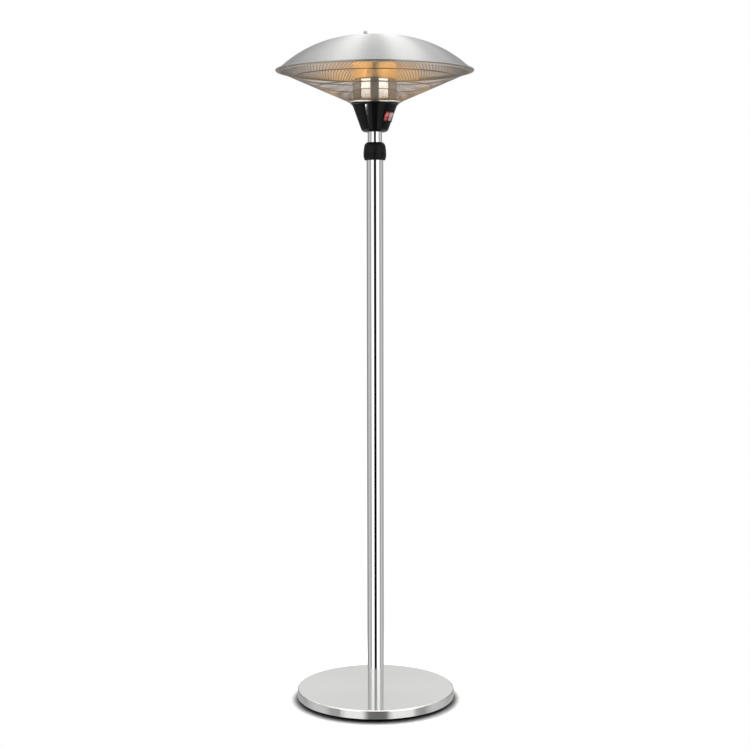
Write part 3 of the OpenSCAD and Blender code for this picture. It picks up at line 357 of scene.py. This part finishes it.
MATERIALS = {
    "base_steel": brushed_round("base_steel", (0.78, 0.78, 0.77), (0.89, 0.89, 0.88), (0.12, 0.18)),
    "brushed_dome": brushed_round(
        "brushed_dome", (0.70, 0.70, 0.695), (0.82, 0.82, 0.815), (0.52, 0.62), 1.0
    ),
    "dome_inside": brushed_with_painted_glow("dome_inside", (0.72, 0.715, 0.70), (0.84, 0.835, 0.82), (0.42, 0.52)),
    "ballast": cast("ballast", (0.10, 0.10, 0.105), (0.20, 0.20, 0.205)),
    "rubber": moulded("rubber", (0.025, 0.025, 0.025), (0.65, 0.8), 900.0, 0.2),
    "fasteners": plated("fasteners", (0.62, 0.62, 0.61), (0.78, 0.78, 0.77), (0.18, 0.32)),
    "black_matte": moulded("black_matte", (0.004, 0.004, 0.0045), (0.34, 0.46), 1300.0, 0.16, 0.15),
    "polished_tube": polished("polished_tube", (0.86, 0.86, 0.86), (0.025, 0.05)),
    "nylon": moulded("nylon", (0.80, 0.78, 0.71), (0.42, 0.55), 700.0, 0.08),
    "cast_alloy": cast("cast_alloy", (0.50, 0.50, 0.51), (0.66, 0.66, 0.67)),
    "black_gloss": moulded("black_gloss", (0.004, 0.004, 0.005), (0.05, 0.08), 260.0, 0.01, 0.12),
    "black_lid": moulded("black_lid", (0.008, 0.008, 0.009), (0.22, 0.32), 900.0, 0.06, 0.25),
    "red_rocker": rocker("red_rocker", (0.34, 0.012, 0.010), (0.46, 0.022, 0.018), 0.05),
    "pale_rocker": rocker("pale_rocker", (0.30, 0.20, 0.185), (0.40, 0.28, 0.265), 0.02),
    "lead_sleeve": moulded("lead_sleeve", (0.78, 0.75, 0.69), (0.7, 0.85), 2200.0, 0.4),
    "polished_column": polished("polished_column", (0.90, 0.85, 0.76), (0.04, 0.07)),
    "ceramic": moulded("ceramic", (0.80, 0.76, 0.68), (0.5, 0.7), 1500.0, 0.2),
    "quartz": quartz(),
    "glowing_coil": glowing_coil(),
    "guard_steel": plated("guard_steel", (0.13, 0.12, 0.105), (0.21, 0.195, 0.175), (0.30, 0.42)),
    "bright_trim": plated("bright_trim", (0.70, 0.68, 0.63), (0.80, 0.78, 0.73), (0.16, 0.26)),
    # A darker, rougher copy of the bright trim, which paints shade on the guard's rim
    "painted_shade_trim": plated("painted_shade_trim", (0.36, 0.32, 0.26), (0.46, 0.41, 0.34), (0.26, 0.36)),
    # A lighter, rougher copy of the fasteners, which paints light on the cap nuts
    "painted_light_nut": plated("painted_light_nut", (0.70, 0.70, 0.69), (0.82, 0.82, 0.81), (0.38, 0.48)),
}
# Nodes shown in another material than their slot's: the guard's rim in a darker copy of the trim, which is
# painted shade, the cap nuts in a lighter, rougher copy of the fasteners, which is painted light, and the
# neck ring in the bright trim
NODE_LIT_OR_SHADED_COPY = {"guard_rim": "painted_shade_trim", "neck_ring": "bright_trim", "cap_nuts": "painted_light_nut"}


# Mesh helpers

TURN_STEPS = 256
WELD = 1e-7
# Edges over these angles in degrees stay sharp
TUBE_SHARP = 30.0
DOME_SHARP = 35.0
MESH_SHARP = 20.0


def add_piece(name, mesh, node, sharp):
    """A piece that stands for a CAD node, rides on its body and has its material."""
    mesh.polygons.foreach_set("use_smooth", [True] * len(mesh.polygons))
    mesh.set_sharp_from_angle(angle=math.radians(sharp))
    piece = bpy.data.objects.new(name, mesh)
    bpy.context.scene.collection.objects.link(piece)
    mesh.materials.append(MATERIALS[SLOT[node]])
    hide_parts(node)
    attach(piece, BODY[node])
    return piece


def arc(centre, radius, start, end, steps):
    """Points on a circle in a section, by angle in degrees from the outward direction."""
    points = []
    for i in range(steps + 1):
        angle = math.radians(start + (end - start) * i / steps)
        points.append((centre[0] + radius * math.cos(angle), centre[1] + radius * math.sin(angle)))
    return points


def lathe(section, steps=TURN_STEPS):
    """A closed section of (radius, height) points, turned round the axis."""
    verts = []
    faces = []
    count = len(section)
    for i in range(steps):
        angle = 2 * math.pi * i / steps
        for radius, height in section:
            verts.append((radius * math.cos(angle), radius * math.sin(angle), height))
    for i in range(steps):
        here, after = i * count, (i + 1) % steps * count
        for k in range(count):
            m = (k + 1) % count
            faces.append((here + k, after + k, after + m, here + m))
    mesh = bpy.data.meshes.new("lathe")
    mesh.from_pydata(verts, [], faces)
    fix_normals(mesh)
    return mesh


def fix_normals(mesh):
    """Welds points in the same place and turns all faces outwards."""
    work = bmesh.new()
    work.from_mesh(mesh)
    bmesh.ops.remove_doubles(work, verts=work.verts, dist=WELD)
    bmesh.ops.recalc_face_normals(work, faces=work.faces)
    work.to_mesh(mesh)
    work.free()


# The pole's tubes and the column: wall and broken edge in metres

TUBE_WALLS = {"lower_tube": 0.0015, "upper_tube": 0.0015, "reflector_column": 0.0010}
TUBE_EDGE = 0.0003


def make_tubes():
    """Plain tubes with broken edges, over the height of their nodes."""
    for node, wall in TUBE_WALLS.items():
        low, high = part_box(node)
        outer = high.x
        inner = outer - wall
        section = [(outer, low.z + TUBE_EDGE), (outer, high.z - TUBE_EDGE), (outer - TUBE_EDGE, high.z)]
        section += [(inner + TUBE_EDGE, high.z), (inner, high.z - TUBE_EDGE), (inner, low.z + TUBE_EDGE)]
        section += [(inner + TUBE_EDGE, low.z), (outer - TUBE_EDGE, low.z)]
        add_piece("fine_" + node, lathe(section), node, TUBE_SHARP)


# The dome, from its node's box and the crown's radius, in metres

DOME_WALL = 0.0012
CROWN_RADIUS = 0.700
CROWN_REACH = 0.080
CROWN_STEPS = 12
SIDE_STEPS = 40
DOME_LIP = 0.006
DOME_BEAD = 0.0012
BEAD_ANGLES = (130, -90)
BEAD_STEPS = 14
# A face whose normal points down by more than this belongs to the inside
INSIDE_DROP = 0.1


def dome_sides(rim_radius, rim_z, apex_z):
    """Centre and radius of the dome's side arc, tangent to the crown where the crown ends."""
    angle = math.asin(CROWN_REACH / CROWN_RADIUS)
    end = Vector((CROWN_REACH, apex_z - CROWN_RADIUS * (1 - math.cos(angle))))
    normal = Vector((math.sin(angle), math.cos(angle)))
    chord = Vector((rim_radius, rim_z)) - end
    radius = -chord.dot(chord) / (2 * chord.dot(normal))
    return end - radius * normal, radius


def dome_line(depth, rim_radius, rim_z, apex_z):
    """The dome's outside, or its inside at a depth, from the axis to the rim."""
    centre, radius = dome_sides(rim_radius, rim_z, apex_z)
    crown_centre = (0.0, apex_z - CROWN_RADIUS)
    end_angle = 90 - math.degrees(math.asin(CROWN_REACH / CROWN_RADIUS))
    points = arc(crown_centre, CROWN_RADIUS - depth, 90, end_angle, CROWN_STEPS)
    low_angle = math.degrees(math.asin((rim_z - centre.y) / (radius - depth)))
    return points + arc(centre, radius - depth, end_angle, low_angle, SIDE_STEPS)[1:]


def make_dome():
    """A thin spun shell with a bead at the rim. Both ends of its section are on the axis and get welded."""
    low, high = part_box("dome")
    rim_z, apex_z = low.z, high.z
    lip_radius = high.x
    rim_radius = lip_radius - DOME_LIP
    outside = dome_line(0.0, rim_radius, rim_z + DOME_WALL, apex_z)
    inside = dome_line(DOME_WALL, rim_radius, rim_z, apex_z)
    bead = arc((lip_radius - DOME_BEAD, rim_z + DOME_BEAD), DOME_BEAD, *BEAD_ANGLES, BEAD_STEPS)
    mesh = lathe(outside + bead + list(reversed(inside)))
    add_piece("fine_dome", mesh, "dome", DOME_SHARP)
    mesh.materials.append(MATERIALS["dome_inside"])
    for face in mesh.polygons:
        face.material_index = 1 if face.normal.z < -INSIDE_DROP else 0


# The guard's mesh: one lattice of flat strands on the cone, in metres

MESH_CELLS = 140
MESH_ROWS = 33
STRAND = 0.0017
MESH_THICK = 0.0007
NECK_RADIUS = 0.076
GUARD_SLOPE = math.radians(23.4)
CAD_HALF_MESH = 0.0006


def guard_point(angle, along, lift, neck_z):
    """A point on the cone by its angle, its way up the slope and its height over the cone's middle."""
    radius = NECK_RADIUS + along * math.cos(GUARD_SLOPE) - lift * math.sin(GUARD_SLOPE)
    height = neck_z + along * math.sin(GUARD_SLOPE) + lift * math.cos(GUARD_SLOPE)
    return (radius * math.cos(angle), radius * math.sin(angle), height)


def make_guard():
    """Each opening is a diamond between four crossings; each strand has a ridge on both sides of the cone."""
    low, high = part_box("guard_mesh")
    neck_z = low.z + CAD_HALF_MESH * math.cos(GUARD_SLOPE)
    slant = (high.x - CAD_HALF_MESH * math.sin(GUARD_SLOPE) - NECK_RADIUS) / math.cos(GUARD_SLOPE)
    step = slant / MESH_ROWS
    turn = 2 * math.pi / MESH_CELLS
    verts = []
    faces = []
    crest = {}
    for side, lift in enumerate((MESH_THICK / 2, -MESH_THICK / 2)):
        for row in range(MESH_ROWS + 1):
            for i in range(MESH_CELLS):
                crest[side, row, i] = len(verts)
                verts.append(guard_point((i + 0.5 * (row % 2)) * turn, row * step, lift, neck_z))
    for row in range(MESH_ROWS + 1):
        half_width = math.pi * (NECK_RADIUS + row * step * math.cos(GUARD_SLOPE)) / MESH_CELLS
        share = 1 - STRAND / 2 / (half_width * step / math.hypot(half_width, step))
        border = {0: 1, MESH_ROWS: -1}.get(row, 0)
        for i in range(MESH_CELLS):
            middle = (i + 0.5 + 0.5 * (row % 2)) * turn
            half = turn / 2 * (share - abs(border) * STRAND / 2 / step)
            corners = [(row, i)]
            inner = [guard_point(middle - half, row * step + border * STRAND / 2, 0, neck_z)]
            if row > 0:
                corners.append((row - 1, i + row % 2))
                inner.append(guard_point(middle, (row - share) * step, 0, neck_z))
            corners.append((row, i + 1))
            inner.append(guard_point(middle + half, row * step + border * STRAND / 2, 0, neck_z))
            if row < MESH_ROWS:
                corners.append((row + 1, i + row % 2))
                inner.append(guard_point(middle, (row + share) * step, 0, neck_z))
            first = len(verts)
            verts += inner
            count = len(corners)
            for k in range(count):
                m = (k + 1) % count
                (row_a, i_a), (row_b, i_b) = corners[k], corners[m]
                top_a, top_b = crest[0, row_a, i_a % MESH_CELLS], crest[0, row_b, i_b % MESH_CELLS]
                low_a, low_b = crest[1, row_a, i_a % MESH_CELLS], crest[1, row_b, i_b % MESH_CELLS]
                faces.append((top_a, top_b, first + m, first + k))
                faces.append((low_b, low_a, first + k, first + m))
                if row_a == row_b:
                    faces.append((top_b, top_a, low_a, low_b))
    mesh = bpy.data.meshes.new("guard")
    mesh.from_pydata(verts, [], faces)
    fix_normals(mesh)
    add_piece("fine_guard_mesh", mesh, "guard_mesh", MESH_SHARP)


# CAD nodes that show as they are


def dress_nodes():
    """Each gets its slot's material or a lighter or darker one. Replaced nodes are hidden by now."""
    for name, piece in NODES.items():
        if piece.hide_render:
            continue
        mesh = piece.data
        mesh.materials.clear()
        mesh.materials.append(MATERIALS[NODE_LIT_OR_SHADED_COPY.get(name, SLOT[name])])


# Floor, light and camera

FLOOR_REACH = 30.0
FLOOR_COLOUR = (0.80, 0.80, 0.80)
FLOOR_ROUGHNESS = 0.8
# The floor as the camera sees it: white where the light is full, and dark in the shadow
FLOOR_SEEN = 1.35
# A painted shadow under the base's edge, darkening the seen floor's colour by ambient occlusion: how far it
# reaches, the direction that has to be open for a light floor, and a ramp from how open it is to how light
# it looks
CONTACT_REACH = 0.06
CONTACT_SIDE = (0.0, 0.88, 0.47)
CONTACT = [(0.30, 0.0), (0.50, 0.01), (0.63, 0.06), (0.72, 0.20), (0.82, 0.62), (0.90, 1.0)]
# Distances from the axis between which the seen floor goes over into the white background
WHITE_FROM = 0.45
WHITE_TO = 0.80


def make_floor():
    """A pale floor with the object's shadow. Metal sees the studio's panels in its place."""
    mesh = bpy.data.meshes.new("floor")
    corners = [(-FLOOR_REACH, -FLOOR_REACH, 0), (FLOOR_REACH, -FLOOR_REACH, 0)]
    corners += [(FLOOR_REACH, FLOOR_REACH, 0), (-FLOOR_REACH, FLOOR_REACH, 0)]
    mesh.from_pydata(corners, [], [(0, 1, 2, 3)])
    floor = bpy.data.objects.new("floor", mesh)
    bpy.context.scene.collection.objects.link(floor)
    material, nodes, links = new_material("pale_floor")
    shader = nodes["Principled BSDF"]
    shader.inputs["Roughness"].default_value = FLOOR_ROUGHNESS
    shader.inputs["Specular IOR Level"].default_value = 0.0
    seen = seen_directly(nodes, links, nodes.new("ShaderNodeLightPath"))
    # Painted shadow: ambient occlusion from the base darkens the floor's colour as the camera sees it
    contact = nodes.new("ShaderNodeAmbientOcclusion")
    contact.inputs["Distance"].default_value = CONTACT_REACH
    side = nodes.new("ShaderNodeCombineXYZ")
    for socket, value in zip(side.inputs, CONTACT_SIDE):
        socket.default_value = value
    links.new(side.outputs[0], contact.inputs["Normal"])
    painted_contact_shadow = ramp_of(nodes, [(place, FLOOR_SEEN * grey) for place, grey in CONTACT])
    links.new(contact.outputs["AO"], painted_contact_shadow.inputs[0])
    colour = nodes.new("ShaderNodeMix")
    colour.data_type = "RGBA"
    colour.inputs["A"].default_value = (*FLOOR_COLOUR, 1)
    links.new(painted_contact_shadow.outputs[0], colour.inputs["B"])
    links.new(seen, colour.inputs["Factor"])
    links.new(colour.outputs["Result"], shader.inputs["Base Color"])
    x, y, _ = object_place(nodes, links)
    far = map_range(nodes, links, axis_distance(nodes, links, x, y), (WHITE_FROM, WHITE_TO), smooth=True)
    share = math_node(nodes, links, "MULTIPLY", seen, far)
    mix = mix_shaders(nodes, links, share, shader, nodes.new("ShaderNodeEmission"))
    links.new(mix.outputs[0], nodes["Material Output"].inputs["Surface"])
    mesh.materials.append(material)
    floor.visible_glossy = False


# What metal sees of the studio: white panels and dark gaps, as (angle, level) stops round it from -180 to 180
# degrees, with 0 at the front. They make zones, one above the other. STUDIO has the rise in degrees at which
# each zone begins, the rise at which it is full, and its stops
DOWN = [(-180, 0.2), (180, 0.2)]
BELOW = [(-180, 1.5), (-100, 1.5), (-84, 1.3), (-26, 1.3), (-14, 0.0), (14, 0.0), (26, 1.3), (84, 1.3),
         (100, 1.5), (180, 1.5)]
AT_BASE = [(-180, 0.6), (-120, 0.52), (-95, 0.62), (-84, 0.68), (-76, 0.6), (-71, 0.34), (-48, 0.32),
           (-44, 0.64), (-38, 0.68), (-24, 0.66), (-13, 0.66), (-10, 0.32), (0, 0.28), (22, 0.30),
           (26, 0.66), (44, 0.64), (56, 0.62), (59, 0.30), (77, 0.30), (81, 0.46), (92, 0.54), (113, 0.58),
           (140, 0.55), (180, 0.6)]
AT_POLE = [(-180, 0.3), (-150, 0.25), (-125, 0.25), (-108, 0.58), (-97, 0.64), (-76, 0.53), (-62, 0.42),
           (-54, 0.38), (-50, 1.3), (-19, 1.3), (-13, 0.0), (15, 0.0), (21, 1.3), (57, 1.3), (62, 0.45),
           (73, 0.38), (82, 0.50), (93, 0.70), (113, 0.52), (135, 0.32), (160, 0.3), (180, 0.3)]
AT_COLUMN = [(-180, 0.45), (-150, 0.5), (-100, 0.6), (-84, 0.55), (-80, 0.1), (-77, 0.1), (-73, 3.2),
             (-26, 3.2), (-20, 0.16), (19, 0.16), (24, 3.2), (71, 3.2), (76, 0.1), (80, 0.1), (84, 0.55),
             (100, 0.6), (150, 0.5), (180, 0.45)]
AT_RIM = [(-180, 0.78), (-158, 0.78), (-138, 0.45), (-117, 0.36), (-98, 0.62), (-75, 0.57), (-60, 0.5),
          (-52, 0.95), (-43, 1.0), (-21, 1.0), (-15, 0.55), (-10, 0.35), (10, 0.35), (15, 0.4), (21, 0.9),
          (28, 1.0), (56, 1.0), (63, 0.75), (73, 0.42), (81, 0.45), (95, 0.68), (117, 0.55), (140, 0.42),
          (160, 0.78), (180, 0.78)]
ABOVE = [(-180, 0.8), (-150, 0.8), (-100, 1.15), (-60, 1.6), (-20, 1.5), (0, 1.25), (20, 1.5), (60, 1.6),
         (100, 1.3), (150, 0.95), (180, 0.8)]
OVERHEAD = [(-180, 1.1), (-150, 1.2), (-100, 1.3), (-60, 1.6), (-20, 1.55), (0, 1.35), (20, 1.55),
            (60, 1.6), (100, 1.5), (150, 1.35), (180, 1.1)]
STUDIO = [(None, None, DOWN), (-62, -56, BELOW), (-36, -28, AT_BASE), (-17.6, -16.4, AT_POLE),
          (4.2, 5, AT_COLUMN), (9, 13, AT_RIM), (25, 40, ABOVE), (48, 62, OVERHEAD)]
# The even light on everything matt
DIFFUSE_LEVEL = 0.85


def make_world():
    """Panels for glossy rays, an even light for diffuse ones, and plain white for the camera."""
    world = bpy.data.worlds.new("studio")
    bpy.context.scene.world = world
    world.use_nodes = True
    nodes, links = world.node_tree.nodes, world.node_tree.links
    nodes.clear()
    ray = nodes.new("ShaderNodeTexCoord")
    parts = nodes.new("ShaderNodeSeparateXYZ")
    links.new(ray.outputs["Generated"], parts.inputs[0])
    x, y, z = parts.outputs
    angle = math_node(nodes, links, "ARCTAN2", x, math_node(nodes, links, "MULTIPLY", y, -1.0))
    turn = math_node(nodes, links, "DIVIDE", angle, 2 * math.pi)
    place = math_node(nodes, links, "ADD", turn, 0.5)
    studio = None
    for begin, full, stops in STUDIO:
        zone = ramp_of(nodes, [(degrees / 360 + 0.5, level) for degrees, level in stops])
        links.new(place, zone.inputs[0])
        if studio is None:
            studio = zone.outputs[0]
            continue
        mix = nodes.new("ShaderNodeMix")
        mix.data_type = "RGBA"
        links.new(map_range(nodes, links, z, sines(begin, full), smooth=True), mix.inputs["Factor"])
        links.new(studio, mix.inputs["A"])
        links.new(zone.outputs[0], mix.inputs["B"])
        studio = mix.outputs["Result"]
    mirror = nodes.new("ShaderNodeBackground")
    links.new(studio, mirror.inputs["Color"])
    plain = nodes.new("ShaderNodeBackground")
    plain.inputs["Color"].default_value = (1, 1, 1, 1)
    plain.inputs["Strength"].default_value = DIFFUSE_LEVEL
    white = nodes.new("ShaderNodeBackground")
    white.inputs["Color"].default_value = (1, 1, 1, 1)
    path = nodes.new("ShaderNodeLightPath")
    light = mix_shaders(nodes, links, path.outputs["Is Glossy Ray"], plain, mirror)
    both = mix_shaders(nodes, links, seen_directly(nodes, links, path), light, white)
    links.new(both.outputs[0], nodes.new("ShaderNodeOutputWorld").inputs["Surface"])


# Lamps: name, place and target, width and height, watts, and the one node that shows it in its gloss
LAMPS = [
    ("key", (-2.2, -2.6, 3.4), (0, 0, 1.0), (2.2, 2.2), 60, None),
    ("fill", (2.6, -2.2, 2.2), (0, 0, 1.0), (2.2, 2.2), 30, None),
    ("sparkle", (-0.93, -0.90, 1.052), (0, 0, 1.75), (0.34, 0.014), 8.0, "housing_shell"),
]


def make_lamp(name, place, target, size, watts, shown_in):
    """A soft lamp. It shows in no gloss, or with shown_in in that node's gloss and nowhere else."""
    data = bpy.data.lights.new(name, "AREA")
    data.energy = watts
    data.shape = "RECTANGLE"
    data.size, data.size_y = size
    lamp = bpy.data.objects.new(name, data)
    bpy.context.scene.collection.objects.link(lamp)
    lamp.location = place
    lamp.rotation_euler = (Vector(target) - Vector(place)).to_track_quat("-Z", "Y").to_euler()
    lamp.visible_glossy = shown_in is not None
    lamp.visible_diffuse = shown_in is None
    if shown_in:
        receivers = bpy.data.collections.new(name + "_receivers")
        receivers.objects.link(NODES[shown_in])
        lamp.light_linking.receiver_collection = receivers


# Camera of the photograph, in metres and degrees, with its lens and sensor in millimetres, and what it sees
# from how near to how far
CAMERA_BACK = 4.527
CAMERA_HEIGHT = 1.410
CAMERA_PITCH = 5.25
CAMERA_ROLL = -0.09
CAMERA_SHIFT = -0.0003
CAMERA_LENS = 72.14
SENSOR = 36.0
CAMERA_RANGE = (0.1, 100.0)


def make_camera():
    data = bpy.data.cameras.new("camera")
    data.sensor_width = SENSOR
    data.lens = CAMERA_LENS
    data.shift_x = CAMERA_SHIFT
    camera = bpy.data.objects.new("camera", data)
    bpy.context.scene.collection.objects.link(camera)
    tilt = Matrix.Rotation(math.radians(90 - CAMERA_PITCH), 4, "X")
    roll = Matrix.Rotation(math.radians(CAMERA_ROLL), 4, "Z")
    camera.matrix_world = Matrix.Translation((0, -CAMERA_BACK, CAMERA_HEIGHT)) @ tilt @ roll
    data.clip_start, data.clip_end = CAMERA_RANGE
    bpy.context.scene.camera = camera


make_dome()
make_guard()
make_tubes()
dress_nodes()
make_floor()
make_world()
for lamp in LAMPS:
    make_lamp(*lamp)
make_camera()
bpy.context.scene.view_settings.view_transform = "Standard"
